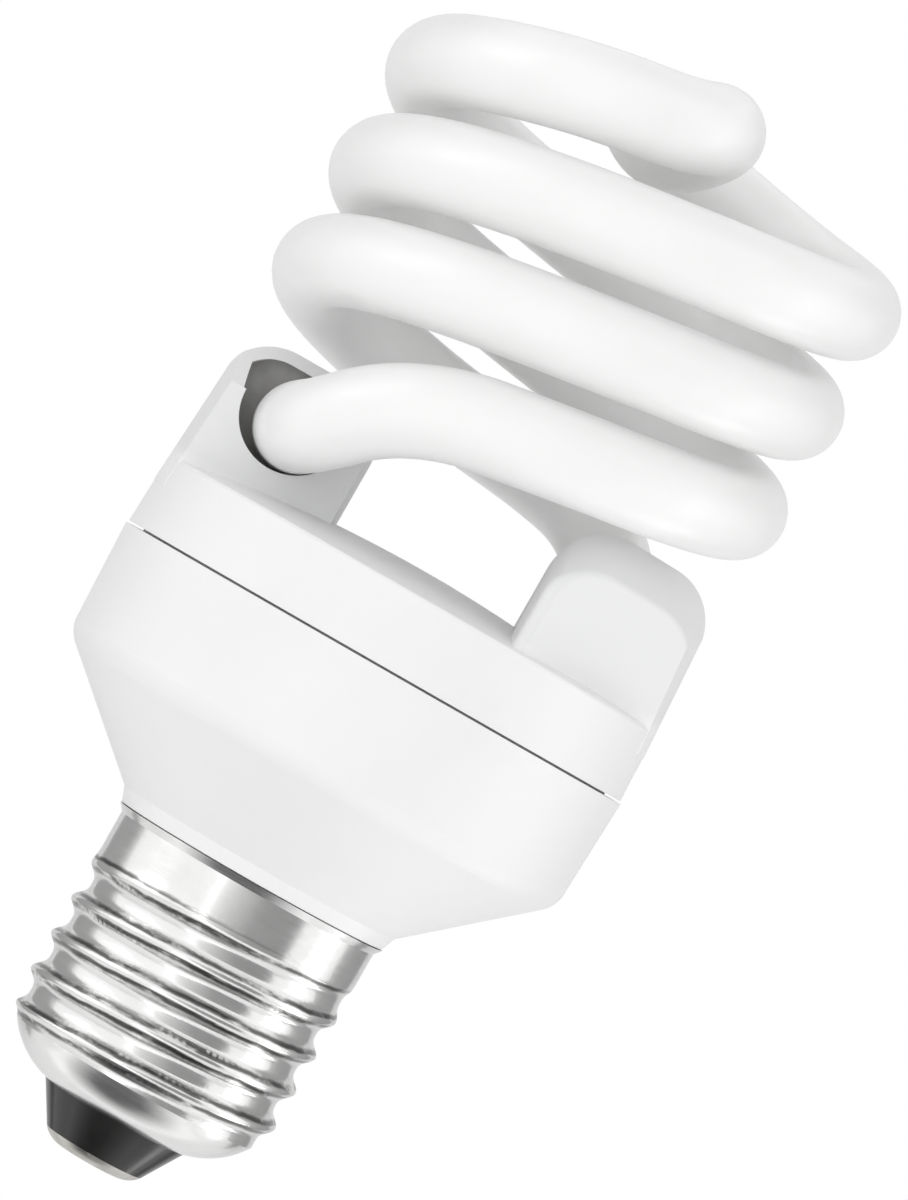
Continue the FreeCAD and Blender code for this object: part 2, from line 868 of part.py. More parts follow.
# Glass
def tube_points():
    """Control points of the tube from its left end to its right end, the same turned by 180."""
    step = number("coil_step_deg")
    reach = number("coil_radius") / math.cos(math.radians(step / 2))
    pitch = number("coil_pitch")
    start, split = coil_start.value, split_height.value
    middle, radius = notch_offset.value, number("coil_radius")
    points = [Vector(-middle - out, away, split + up) for out, away, up in LEAD_IN_HOOD]
    points += [Vector(-middle - out, -radius - past, start + up) for out, past, up in LEAD_IN_COIL]
    for index in range(int(number("coil_steps")) + 1):
        turned = number("coil_start_deg") + step * index
        angle = math.radians(turned)
        height = start + pitch * (turned - number("coil_start_deg")) / 360
        points.append(Vector(reach * math.cos(angle), reach * math.sin(angle), height))
    crown = points[-1].z
    points += [Vector(across * radius, away * radius, crown + up) for across, away, up in CROWN]
    return points + [Vector(-point.x, -point.y, point.z) for point in reversed(points)]


def discharge_tube():
    bar = swept("tube_bar", tube_points(), size("tube_diameter") / 2)
    doc.recompute()
    radius = number("tube_diameter") / 2
    rims = []
    for index, edge in enumerate(bar.Shape.Edges, start=1):
        ends = [face for face in bar.Shape.ancestorsOfType(edge, Part.Face)]
        flat = any(isinstance(face.Surface, Part.Plane) for face in ends)
        if flat and abs(edge.Length - 2 * math.pi * radius) < 0.01:
            rims.append((index, number("tube_end_round"), number("tube_end_round")))
    soft = doc.addObject("Part::Fillet", "tube_rounded_ends")
    soft.Base = bar
    soft.Edges = rims
    return keep(soft, "discharge_tube")


def tube_cements(tube):
    """The cement that fills the hood round each tube end, holds the glass and closes the hood below."""
    wall = number("hood_wall")
    mouth = number("hood_mouth_offset")
    start = -mouth + wall + number("cement_mouth_gap")
    low = cover_rim.value
    span = 2 * cover_radius.value
    room = Part.makeBox(span, number("cement_length"), span, Vector(-span, start, low))
    below_notch = split_height.value - number("notch_radius") - number("cement_floor") - low
    floor = Part.makeBox(span, start + mouth, below_notch, Vector(-span, -mouth, low))
    hollow = hood_form(wall, mouth - wall).common(drafted_core(wall))
    filling = hollow.common(room.fuse(floor)).cut(tube.Shape)
    keep(from_shape("left_cement", filling), "tube_cement_left")
    keep(from_shape("right_cement", half_turn(filling)), "tube_cement_right")


# Ballast
def circuit_board():
    body = new_body("board_body")
    points = [
        (NOTHING, board_base),
        (board_edge, board_base),
        (board_edge, board_top),
        (NOTHING, board_top),
    ]
    drawing = outline(body, "board_outline", "XZ_Plane", points)
    revolved(body, drawing, "board_disc")
    return keep(body, "circuit_board")


def choke():
    across, away = size("choke_x"), size("choke_y")
    depth, length = size("choke_core_depth"), size("choke_core_length")
    height, yoke, leg = size("choke_core_height"), size("choke_yoke"), size("choke_leg")
    base = board_base - size("choke_stand_off") - height
    window_width = (length - leg) / 2 - yoke
    window_height = height - yoke * 2
    whole = centred_block("choke_blank", depth, length, height, across, away, base)
    offset = leg / 2 + window_width / 2
    windows = [
        centred_block("window_near", depth * 2, window_width, window_height, across, away - offset, base + yoke),
        centred_block("window_far", depth * 2, window_width, window_height, across, away + offset, base + yoke),
    ]
    keep(removed("choke_ferrite", whole, fused("choke_windows", windows)), "choke_core")

    fit, wall = size("choke_fit"), size("choke_bobbin_wall")
    flange, reach = size("choke_flange"), size("choke_flange_reach")
    inner_depth, inner_leg = depth + fit * 2, leg + fit * 2
    sleeve_base = base + yoke + fit
    sleeve_height = window_height - fit * 2
    sleeve = centred_block(
        "bobbin_sleeve", inner_depth + wall * 2, inner_leg + wall * 2, sleeve_height, across, away, sleeve_base
    )
    flange_depth, flange_width = depth + reach * 2, leg + reach * 2
    lower = centred_block("bobbin_lower", flange_depth, flange_width, flange, across, away, sleeve_base)
    upper = centred_block(
        "bobbin_upper", flange_depth, flange_width, flange, across, away, sleeve_base + sleeve_height - flange
    )
    hole = centred_block("bobbin_hole", inner_depth, inner_leg, sleeve_height * 2, across, away, sleeve_base - fit)
    spool = fused("bobbin_blank", [sleeve, lower, upper])
    keep(removed("bobbin_moulding", spool, hole), "choke_bobbin")

    turns = size("choke_winding_depth")
    coil_base = sleeve_base + flange
    coil_height = sleeve_height - flange * 2
    outer = centred_block(
        "coil_blank", inner_depth + turns * 2, inner_leg + turns * 2, coil_height, across, away, coil_base
    )
    rounded = doc.addObject("Part::Fillet", "coil_rounded")
    rounded.Base = outer
    doc.recompute()
    upright = []
    for index, edge in enumerate(outer.Shape.Edges, start=1):
        if abs(edge.tangentAt(edge.FirstParameter).z) > 0.99:
            upright.append((index, turns.value * 0.7, turns.value * 0.7))
    rounded.Edges = upright
    core_hole = centred_block(
        "coil_hole", inner_depth + wall * 2, inner_leg + wall * 2, coil_height * 2, across, away, coil_base - fit
    )
    keep(removed("coil_turns", rounded, core_hole), "choke_winding")

    pins = []
    inset = size("choke_pin_inset")
    pin_base = sleeve_base + sleeve_height
    for x_side in (-1, 1):
        for y_side in (-1, 1):
            pin = cylinder("choke_pin", size("pin_radius"), board_base - pin_base)
            x_place = across + (flange_depth / 2 - inset) * x_side
            y_place = away + (flange_width / 2 - inset) * y_side
            pins.append(placed(pin, x_place, y_place, pin_base))
    keep(fused("choke_pin_set", pins), "choke_pins")


def smoothing_capacitor():
    body = new_body("smoothing_body")
    radius, length = size("smoothing_radius"), size("smoothing_length")
    groove, offset = size("smoothing_groove_depth"), size("smoothing_groove_offset")
    edge = size("smoothing_edge_round")
    top = board_base - size("smoothing_stand_off")
    base = top - length
    points = [
        (NOTHING, base),
        (radius - edge, base),
        (radius, base + edge),
        (radius, top - offset - groove),
        (radius - groove, top - offset),
        (radius, top - offset + groove),
        (radius, top - edge),
        (radius - edge, top),
        (NOTHING, top),
    ]
    drawing = outline(body, "smoothing_outline", "XZ_Plane", points, {1: edge, 6: edge})
    revolved(body, drawing, "smoothing_can")
    leads = []
    for side in (-1, 1):
        lead = cylinder("smoothing_lead", size("lead_radius"), size("smoothing_stand_off"))
        leads.append(placed(lead, NOTHING, size("smoothing_lead_pitch") / 2 * side, top))
    whole = fused("smoothing_whole", [body] + leads)
    placed(whole, size("smoothing_x"), size("smoothing_y"))
    return keep(whole, "smoothing_capacitor")


def drive_transformer():
    across, away = size("transformer_x"), size("transformer_y")
    outer, inner = size("ring_outer_radius"), size("ring_inner_radius")
    height, layer = size("ring_height"), size("ring_wire_layer")
    base = board_base - layer - height - size("pin_radius")
    blank = placed(cylinder("ring_blank", outer, height), across, away, base)
    hole = placed(cylinder("ring_hole", inner, height * 2), across, away, base - layer)
    keep(removed("ring_ferrite", blank, hole), "transformer_core")
    coils = []
    count = int(number("ring_winding_count"))
    for index in range(count):
        heading = Rotation(Vector(0, 0, 1), 360.0 / count * index)
        sectors = []
        for name, radius, low, tall in (
            ("wrap_out", outer + layer, base - layer, height + layer * 2),
            ("wrap_in", inner - layer, base - layer * 2, height + layer * 4),
            ("wrap_ring", outer, base, height),
            ("wrap_ring_hole", inner, base - height, height * 3),
        ):
            sector = placed(cylinder(name, radius, tall), across, away, low, heading)
            if name != "wrap_ring_hole":
                bind(sector, "Angle", size("ring_winding_span_deg"))
            sectors.append(sector)
        wrap = removed("wrap_shell", sectors[0], sectors[1])
        ring = removed("wrap_core", sectors[2], sectors[3])
        coils.append(removed("wrap", wrap, ring))
    keep(fused("ring_coils", coils), "transformer_windings")


def transistor(label, side):
    """A plastic case with a flat face, hanging from its three leads."""
    width, depth = size("transistor_width"), size("transistor_depth")
    height, lead = size("transistor_height"), size("transistor_lead_length")
    base = board_base - lead - height
    case = cylinder("transistor_case", width / 2, height)
    flat = centred_block("transistor_flat", width, width, height, NOTHING, depth, NOTHING)
    body = removed("transistor_body", case, flat)
    leads = []
    for index in (-1, 0, 1):
        pin = cylinder("transistor_lead", size("lead_radius"), lead)
        leads.append(placed(pin, size("transistor_lead_pitch") * index, NOTHING, height))
    whole = fused("transistor_whole", [body] + leads)
    placed(whole, size("transistor_x"), size("transistor_y") * side, base)
    keep(whole, label)


def axial_part(label, radius, length, reach, across, away, along_y=False):
    """A part on a bent wire: its body lies under the board and both leads turn up to it."""
    drop = size("diode_drop")
    wire = size("lead_radius")
    half = length.value / 2 + reach.value
    points = [
        Vector(-half, 0, drop.value),
        Vector(-half, 0, 0),
        Vector(half, 0, 0),
        Vector(half, 0, drop.value),
    ]
    corner = reach.value * 0.6
    edges = [
        Part.LineSegment(points[0], points[1] + Vector(0, 0, corner)).toShape(),
        Part.Arc(
            points[1] + Vector(0, 0, corner),
            points[1] + Vector(corner, 0, corner) * (1 - math.sqrt(0.5)),
            points[1] + Vector(corner, 0, 0),
        ).toShape(),
        Part.LineSegment(points[1] + Vector(corner, 0, 0), points[2] - Vector(corner, 0, 0)).toShape(),
        Part.Arc(
            points[2] - Vector(corner, 0, 0),
            points[2] + Vector(-corner, 0, corner) * (1 - math.sqrt(0.5)),
            points[2] + Vector(0, 0, corner),
        ).toShape(),
        Part.LineSegment(points[2] + Vector(0, 0, corner), points[3]).toShape(),
    ]
    path = from_shape(label + "_path", Part.Wire(edges))
    ring = doc.addObject("Part::Circle", label + "_section")
    bind(ring, "Radius", wire)
    ring.Placement = Placement(points[0], Rotation(Vector(0, 0, 1), Vector(0, 0, -1)))
    lead = doc.addObject("Part::Sweep", label + "_lead")
    lead.Sections = [ring]
    lead.Spine = (path, [])
    lead.Solid = True
    case = cylinder(label + "_case", radius, length)
    placed(case, -(length / 2), NOTHING, NOTHING, Rotation(Vector(0, 1, 0), 90))
    whole = fused(label + "_whole", [lead, case])
    spin = Rotation(Vector(0, 0, 1), 90) if along_y else None
    placed(whole, across, away, board_base - drop, spin)
    keep(whole, label)


def film_capacitor(label, across, away, turned):
    length, width = size("film_length"), size("film_width")
    height, edge = size("film_height"), size("film_edge_round")
    case = centred_block(label + "_case", length, width, height, NOTHING, NOTHING, NOTHING)
    soft = doc.addObject("Part::Fillet", label + "_soft")
    soft.Base = case
    doc.recompute()
    soft.Edges = [(index, edge.value, edge.value) for index in range(1, len(case.Shape.Edges) + 1)]
    leads = []
    for side in (-1, 1):
        pin = cylinder(label + "_lead", size("lead_radius"), size("film_stand_off") * 2)
        leads.append(placed(pin, length / 3 * side, NOTHING, height - size("film_stand_off")))
    whole = fused(label + "_whole", [soft] + leads)
    spin = Rotation(Vector(0, 0, 1), 90) if turned else None
    placed(whole, across, away, board_base - height - size("film_stand_off"), spin)
    keep(whole, label)


def filter_place():
    angle = math.radians(number("filter_angle_deg"))
    reach = board_edge - size("filter_inset")
    return reach * math.cos(angle), reach * math.sin(angle)


def filter_inductor():
    body = new_body("filter_body")
    flange_radius, core_radius = size("filter_flange_radius"), size("filter_core_radius")
    height, flange = size("filter_height"), size("filter_flange")
    points = [
        (NOTHING, NOTHING),
        (flange_radius, NOTHING),
        (flange_radius, flange),
        (core_radius, flange),
        (core_radius, height - flange),
        (flange_radius, height - flange),
        (flange_radius, height),
        (NOTHING, height),
    ]
    drawing = outline(body, "filter_outline", "XZ_Plane", points)
    revolved(body, drawing, "filter_drum")
    leads = []
    for side in (-1, 1):
        pin = cylinder("filter_lead", size("lead_radius"), size("film_stand_off"))
        leads.append(placed(pin, flange_radius / 2 * side, NOTHING, height))
    core = fused("filter_whole", [body] + leads)
    base = board_base - height - size("film_stand_off")
    x_place, y_place = filter_place()
    placed(core, x_place, y_place, base)
    keep(core, "filter_inductor_core")
    coil = cylinder("filter_coil", size("filter_coil_radius"), height - flange * 2)
    placed(coil, x_place, y_place, base + flange)
    hole = cylinder("filter_coil_hole", core_radius, height)
    placed(hole, x_place, y_place, base)
    keep(removed("filter_turns", coil, hole), "filter_inductor_winding")


def start_thermistor():
    radius, thick = size("thermistor_radius"), size("thermistor_thickness")
    reach = size("transistor_lead_length")
    disc = cylinder("thermistor_disc", radius, thick)
    placed(disc, -(thick / 2), NOTHING, NOTHING, Rotation(Vector(0, 1, 0), 90))
    leads = []
    for side in (-1, 1):
        pin = cylinder("thermistor_lead", size("lead_radius"), reach + radius / 2)
        leads.append(placed(pin, NOTHING, radius / 2 * side, radius / 2))
    whole = fused("thermistor_whole", [disc] + leads)
    placed(whole, board_edge - size("thermistor_inset"), size("thermistor_y"), board_base - reach - radius)
    keep(whole, "start_thermistor")


# Wiring
def filament_wires():
    """Each tube end has two wires that turn down to two posts on the board."""
    points = tube_points()
    end = points[0]
    out = (end - points[1]).normalize() * number("wire_reach")
    aside = Vector(out.y, -out.x, 0).normalize() * number("electrode_half_pitch")
    side, tall = size("post_side"), size("post_height")
    post_top = board_top.value + tall.value
    order = 0
    for turned in (1, -1):
        for offset in (-1, 1):
            order += 1
            start = end + aside * offset
            corner = start + out
            wire_points = [start, corner, Vector(corner.x, corner.y, post_top)]
            if turned < 0:
                wire_points = [Vector(-point.x, -point.y, point.z) for point in wire_points]
            label = "filament_lead_%d" % order
            keep(swept(label + "_bar", wire_points, size("wire_radius")), label)
            foot_place = wire_points[-1]
            post = block("post", side, side, tall)
            placed(post, foot_place.x - side.value / 2, foot_place.y - side.value / 2, board_top)
            keep(post, "lead_post_%d" % order)


def cap_wires():
    """One wire to the bottom contact and one that comes out under the spigot to the shell."""
    floor = number("eyelet_floor") + number("solder_gap")
    under = board_base.value
    x_place, y_place = number("centre_lead_x"), number("centre_lead_y")
    centre = [
        Vector(x_place, y_place, under),
        Vector(x_place, y_place, collar_top.value),
        Vector(0, 0, number("centre_lead_bend")),
        Vector(0, 0, floor),
    ]
    keep(swept("centre_lead_bar", centre, size("cap_lead_radius")), "centre_lead")
    below = neck_base.value - number("spigot_length") - number("shell_lead_drop")
    reach = number("thread_root_radius") - number("shell_sheet") - number("solder_gap")
    start = Vector(number("shell_lead_x"), number("shell_lead_y"), under)
    heading = Vector(start.x, start.y, 0).normalize()
    shell = [
        start,
        Vector(start.x, start.y, below),
        Vector(heading.x * reach, heading.y * reach, below - number("shell_lead_fall")),
    ]
    keep(swept("shell_lead_bar", shell, size("wire_radius")), "shell_lead")


def build():
    centre_contact()
    cap_insulator()
    screw_shell()
    ballast_housing()
    tube_cover()
    tube = discharge_tube()
    doc.recompute()
    tube_cements(tube)
    circuit_board()
    choke()
    smoothing_capacitor()
    drive_transformer()
    transistor("transistor_high", 1)
    transistor("transistor_low", -1)
    order = 0
    for column in range(2):
        for line in range(2):
            order += 1
            across = size("diode_x") + size("diode_column_pitch") * column
            away = size("diode_y") - size("diode_row_pitch") * line
            axial_part(
                "rectifier_diode_%d" % order,
                size("diode_radius"),
                size("diode_length"),
                size("diode_lead_reach"),
                across,
                away,
            )
    film_capacitor("resonant_capacitor", size("resonant_x"), size("resonant_y"), False)
    film_capacitor("coupling_capacitor", size("coupling_x"), size("coupling_y"), True)
    axial_part(
        "fuse_resistor",
        size("fuse_radius"),
        size("fuse_length"),
        size("diode_lead_reach"),
        size("fuse_x"),
        size("fuse_y"),
    )
    axial_part(
        "diac",
        size("diac_radius"),
        size("diac_length"),
        size("diode_lead_reach"),
        size("diac_inset") - board_edge,
        size("diac_y"),
        True,
    )
    filter_inductor()
    start_thermistor()
    filament_wires()
    cap_wires()
    doc.recompute()


def check_and_write():
    for item in doc.Objects:
        if "Invalid" in item.State or "Error" in item.State:
            raise RuntimeError("%s is %s" % (item.Name, item.State))
    os.makedirs("parts", exist_ok=True)
    for item in finished:
        shape = item.Shape
        if shape.isNull() or not shape.isValid() or not shape.Solids:
            raise RuntimeError("%s has no sound solid" % item.Label)
        shape.exportStep("parts/%s.step" % item.Label)
        box = shape.BoundBox
        print(
            "%-24s %d solid %9.1f mm3  x %6.1f %6.1f  y %6.1f %6.1f  z %6.1f %6.1f"
            % (item.Label, len(shape.Solids), shape.Volume, box.XMin, box.XMax, box.YMin, box.YMax,
               box.ZMin, box.ZMax)
        )


build()
check_and_write()
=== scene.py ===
"""Looks of the spiral energy saving lamp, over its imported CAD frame. Metres.

Glass, plastic and metal are procedural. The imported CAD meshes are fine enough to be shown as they
are. Only the glass tube is made here, with the knob of its crown and its low lead-ins. Then come
the stage, the lights and the camera.
"""
import json
import math

import bpy
from mathutils import Matrix, Vector


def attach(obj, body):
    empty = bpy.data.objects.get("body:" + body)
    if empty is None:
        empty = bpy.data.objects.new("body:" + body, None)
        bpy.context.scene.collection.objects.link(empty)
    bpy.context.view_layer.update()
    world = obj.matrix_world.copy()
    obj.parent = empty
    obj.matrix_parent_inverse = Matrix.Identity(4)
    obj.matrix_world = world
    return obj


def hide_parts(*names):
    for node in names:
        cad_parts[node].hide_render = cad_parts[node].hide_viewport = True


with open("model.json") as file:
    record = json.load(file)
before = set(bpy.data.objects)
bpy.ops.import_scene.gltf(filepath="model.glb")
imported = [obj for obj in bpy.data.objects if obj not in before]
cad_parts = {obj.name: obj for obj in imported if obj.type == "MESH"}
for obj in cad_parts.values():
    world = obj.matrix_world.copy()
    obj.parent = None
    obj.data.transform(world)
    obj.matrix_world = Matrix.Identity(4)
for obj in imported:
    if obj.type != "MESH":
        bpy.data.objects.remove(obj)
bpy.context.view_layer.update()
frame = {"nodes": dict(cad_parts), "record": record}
nodes = frame["nodes"]
scene = bpy.context.scene

MM = 0.001
# Middle of the lamp, which the cards and the soft boxes face
MIDDLE = Vector((0.0, 0.0, 60.0 * MM))

# The glass tube, in millimetres. Corners of its axis from the left end, through the hood and up to
# the coil: across, away, and up from the coil's start.
TUBE_RADIUS = 4.15
COIL_START = 75.15
LEAD_IN = (
    (-16.5, 5.5, -9.65),
    (-16.2, -3.0, -9.2),
    (-15.8, -10.5, -9.0),
    (-14.3, -15.9, -8.2),
    (-10.4, -19.6, -4.45),
    (-4.5, -22.0, -1.7),
)
# How much higher the right lead-in lies at its last three corners
LEAD_IN_LIFT = (2.7, 2.2, 0.7)
# Coil: radius, rise a turn, where it starts, and its corners
COIL_RADIUS = 21.8
COIL_PITCH = 20.4
COIL_START_DEG = 285.0
COIL_STEP_DEG = 30.0
COIL_STEPS = 15
# Corners from the coil's end over the crown: across, away, and up from the coil's end
CROWN = (
    (15.6, 16.0, 1.55),
    (7.4, 20.2, 3.35),
    (-0.6, 17.2, 4.8),
    (-4.0, 11.6, 6.75),
    (-1.4, 4.7, 3.95),
)
# Steps along each arc of the axis, Blender's count of steps round the tube, and how near to the last
# point the next one is left out
ARC_STEPS = 8
ROUND_STEPS = 22
SAME_POINT = 0.4

# Noise seldom leaves this range, so colours and roughness run over it
NOISE_LOW = 0.3
NOISE_HIGH = 0.7
# Painted shade: the cover's colour turns greyer between these heights, where its hoods begin under the coil
HOOD_SHADE_FROM = 58.3 * MM
HOOD_SHADE_WHOLLY = 59.8 * MM
# The rolled thread: pitch, height of its crest on the far left side, and place of the crest in a turn
THREAD_PITCH = 3.629 * MM
THREAD_CREST = 19.8 * MM
CREST_IN_TURN = 0.56
# The painted dark reflection line on each flank, in turns from the crest: it begins and ends over these,
# and wanders
LINE_BEGINS = (0.06, 0.115)
LINE_ENDS = (0.235, 0.155)
LINE_WANDERS = 0.12
LINE_DEPTH = 0.92
# Heights over which the thread begins and ends
THREAD_BEGINS = (7.6 * MM, 8.6 * MM)
THREAD_ENDS = (25.2 * MM, 24.3 * MM)
# Finishes of inner pieces: slot, darkest and lightest grey, tint, roughness from and to, scale of the
# mottling, metal, and strength of the grain
WHITE = (1.0, 1.0, 1.0)
INNER_FINISHES = (
    ("cement", 0.32, 0.4, (1.0, 0.99, 0.96), 0.7, 0.9, 500.0, 0.0, 0.4),
    ("laminate", 0.42, 0.52, (1.0, 0.76, 0.42), 0.45, 0.6, 260.0, 0.0, 0.1),
    ("ferrite", 0.045, 0.08, (1.0, 1.0, 1.05), 0.5, 0.7, 600.0, 0.0, 0.3),
    ("bobbin_plastic", 0.66, 0.74, (1.0, 0.97, 0.86), 0.4, 0.5, 300.0, 0.0, 0.1),
    ("can_sleeve", 0.03, 0.05, (0.7, 0.9, 1.5), 0.22, 0.32, 240.0, 0.0, 0.1),
    ("case_black", 0.018, 0.032, WHITE, 0.45, 0.6, 700.0, 0.0, 0.25),
    ("film_dip", 0.36, 0.46, (1.0, 0.16, 0.09), 0.18, 0.28, 200.0, 0.0, 0.1),
    ("resistor_body", 0.5, 0.6, (1.0, 0.9, 0.68), 0.4, 0.55, 500.0, 0.0, 0.1),
    ("disc_ceramic", 0.14, 0.2, (0.8, 1.1, 0.85), 0.6, 0.8, 500.0, 0.0, 0.3),
    ("tinned_wire", 0.58, 0.7, WHITE, 0.22, 0.38, 700.0, 1.0, 0.1),
    ("wire_cover", 0.68, 0.76, (1.0, 0.98, 0.93), 0.4, 0.55, 300.0, 0.0, 0.1),
)

# Upright cards round the lamp: name, azimuth from the camera's side, distance, width, height, and
# grey levels across
CARDS = (
    ("card_left", -126.0, 0.6, 0.5, 1.1, ((0.0, 0.33), (0.8, 0.36), (1.0, 0.65))),
    (
        "card_front", 21.0, 0.62, 0.92, 1.1,
        ((0.0, 0.95), (0.22, 0.62), (0.5, 0.3), (0.9, 0.28), (1.0, 0.5)),
    ),
    ("card_right", 129.0, 0.6, 0.46, 1.1, ((0.0, 0.5), (0.3, 0.36), (1.0, 0.3))),
    ("card_back", 180.0, 0.75, 0.8, 1.1, ((0.0, 0.6), (0.5, 0.8), (1.0, 0.6))),
)
# Level cards over and under the lamp: name, place, width, depth and the grey of their middle, which
# turns white between these shares of the way out
LEVEL_CARDS = (
    ("card_over", (0.0, -0.05, 0.55), 0.9, 0.7, 0.3),
    ("card_under", (-0.012, -0.03, -0.16), 0.26, 0.26, 0.12),
)
GREY_UNTIL = 0.35
WHITE_FROM = 0.95
# Soft boxes: name, place, size and watts
LAMPS = (
    ("front_box", (0.1, -1.0, 0.2), (1.0, 1.0), 1.6),
    ("side_box", (0.85, -0.05, 0.1), (0.2, 0.8), 0.7),
    ("left_box", (-0.8, -0.3, 0.35), (0.3, 0.6), 0.8),
    ("glint_box", (-0.79, -0.14, 0.2), (0.07, 0.14), 0.14),
    ("low_right_box", (0.42, 0.15, -0.27), (0.2, 0.2), 0.2),
    ("low_box", (0.05, -0.62, -0.28), (0.7, 0.3), 0.55),
)
# Strength of the white surround where the camera and reflections don't see it
SURROUND = 0.82
FLOOR_HEIGHT = -0.35
FLOOR_WIDTH = 3.0

# Camera: square to the lamp's axis, rolled so that the lamp leans right as in the photograph. It
# stands level with the housing's upper edge, and the lens is shifted up the axis to the middle.
CAMERA_DISTANCE = 0.65
AIM = Vector((3.45 * MM, 0.0, 53.0 * MM))
MIDDLE_ABOVE_AIM = 6.7 * MM
ROLL = math.radians(29.8)
FRAME_HEIGHT = 107.33 * MM
SENSOR = 36.0


def make_camera():
    data = bpy.data.cameras.new("camera")
    data.sensor_width = SENSOR
    data.lens = SENSOR * CAMERA_DISTANCE / FRAME_HEIGHT
    data.shift_x = MIDDLE_ABOVE_AIM * math.sin(ROLL) / FRAME_HEIGHT
    data.shift_y = MIDDLE_ABOVE_AIM * math.cos(ROLL) / FRAME_HEIGHT
    data.clip_start = 0.01
    data.clip_end = 20.0
    camera = bpy.data.objects.new("camera", data)
    scene.collection.objects.link(camera)
    place = Matrix.Translation(AIM + Vector((0.0, -CAMERA_DISTANCE, 0.0)))
    level = Matrix.Rotation(math.radians(90.0), 4, "X")
    camera.matrix_world = place @ level @ Matrix.Rotation(ROLL, 4, "Z")
    scene.camera = camera


# Material helpers
def new_material(name):
    material = bpy.data.materials.new(name)
    material.use_nodes = True
    tree = material.node_tree
    return material, tree, tree.nodes["Principled BSDF"]


def axes(tree, space="Object"):
    """X, Y and Z of a point of the surface."""
    place = tree.nodes.new("ShaderNodeTexCoord")
    split = tree.nodes.new("ShaderNodeSeparateXYZ")
    tree.links.new(place.outputs[space], split.inputs["Vector"])
    return split.outputs


def noise(tree, scale, detail=3.0, roughness=0.5, stretch=(1.0, 1.0, 1.0)):
    place = tree.nodes.new("ShaderNodeTexCoord")
    mapping = tree.nodes.new("ShaderNodeMapping")
    mapping.inputs["Scale"].default_value = stretch
    cloud = tree.nodes.new("ShaderNodeTexNoise")
    cloud.inputs["Scale"].default_value = scale
    cloud.inputs["Detail"].default_value = detail
    cloud.inputs["Roughness"].default_value = roughness
    tree.links.new(place.outputs["Object"], mapping.inputs["Vector"])
    tree.links.new(mapping.outputs["Vector"], cloud.inputs["Vector"])
    return cloud.outputs["Fac"]


def ramp(tree, value, stops):
    node = tree.nodes.new("ShaderNodeValToRGB")
    edge = node.color_ramp.elements
    edge[0].position, edge[0].color = stops[0]
    edge[1].position, edge[1].color = stops[-1]
    for position, colour in stops[1:-1]:
        added = edge.new(position)
        added.color = colour
    tree.links.new(value, node.inputs["Fac"])
    return node.outputs["Color"]


def grey(level, tint=WHITE):
    return (level * tint[0], level * tint[1], level * tint[2], 1.0)


def mottle(tree, shader, cloud, dark, light):
    """Colours the shader from dark to light with a noise, and returns the colour."""
    colour = ramp(tree, cloud, [(NOISE_LOW, dark), (NOISE_HIGH, light)])
    tree.links.new(colour, shader.inputs["Base Color"])
    return colour


def blend(tree, shader, share, first, second):
    """Colours the shader from one colour towards a fixed second one."""
    mix = tree.nodes.new("ShaderNodeMix")
    mix.data_type = "RGBA"
    tree.links.new(share, mix.inputs["Factor"])
    tree.links.new(first, mix.inputs["A"])
    mix.inputs["B"].default_value = second
    tree.links.new(mix.outputs["Result"], shader.inputs["Base Color"])


def uneven(tree, shader, cloud, low, high):
    """Runs the shader's roughness from low to high with a noise."""
    node = tree.nodes.new("ShaderNodeMapRange")
    node.inputs["From Min"].default_value = NOISE_LOW
    node.inputs["From Max"].default_value = NOISE_HIGH
    node.inputs["To Min"].default_value = low
    node.inputs["To Max"].default_value = high
    tree.links.new(cloud, node.inputs["Value"])
    tree.links.new(node.outputs["Result"], shader.inputs["Roughness"])


def bump(tree, shader, height, strength, distance):
    node = tree.nodes.new("ShaderNodeBump")
    node.inputs["Strength"].default_value = strength
    node.inputs["Distance"].default_value = distance
    tree.links.new(height, node.inputs["Height"])
    tree.links.new(node.outputs["Normal"], shader.inputs["Normal"])


def combine(tree, operation, first, second=None):
    """One step of arithmetic; each operand is a socket or a number."""
    node = tree.nodes.new("ShaderNodeMath")
    node.operation = operation
    for slot, operand in enumerate((first, second)):
        if isinstance(operand, (int, float)):
            node.inputs[slot].default_value = operand
        elif operand is not None:
            tree.links.new(operand, node.inputs[slot])
    return node.outputs[0]


def rise(tree, value, low, high):
    """From 0 at low to 1 at high, smooth and clamped."""
    node = tree.nodes.new("ShaderNodeMapRange")
    node.interpolation_type = "SMOOTHSTEP"
    node.inputs["From Min"].default_value = low
    node.inputs["From Max"].default_value = high
    tree.links.new(value, node.inputs["Value"])
    return node.outputs["Result"]


# Materials
def coated_glass():
    """Clear glass over a white powder coat: a soft white body under a smooth gloss."""
    material, tree, shader = new_material("coated_glass")
    cloud = noise(tree, 90.0, 4.0, 0.55)
    mottle(tree, shader, cloud, grey(0.84, (1.0, 1.0, 0.995)), grey(0.865, (1.0, 1.0, 0.997)))
    uneven(tree, shader, noise(tree, 400.0), 0.3, 0.4)
    shader.inputs["IOR"].default_value = 1.45
    shader.inputs["Coat Weight"].default_value = 0.25
    shader.inputs["Coat Roughness"].default_value = 0.16
    shader.inputs["Subsurface Weight"].default_value = 0.9
    shader.inputs["Subsurface Radius"].default_value = (1.0, 1.0, 1.0)
    shader.inputs["Subsurface Scale"].default_value = 6.0 * MM
    bump(tree, shader, noise(tree, 60.0, 2.0), 0.03, 0.2 * MM)
    return material


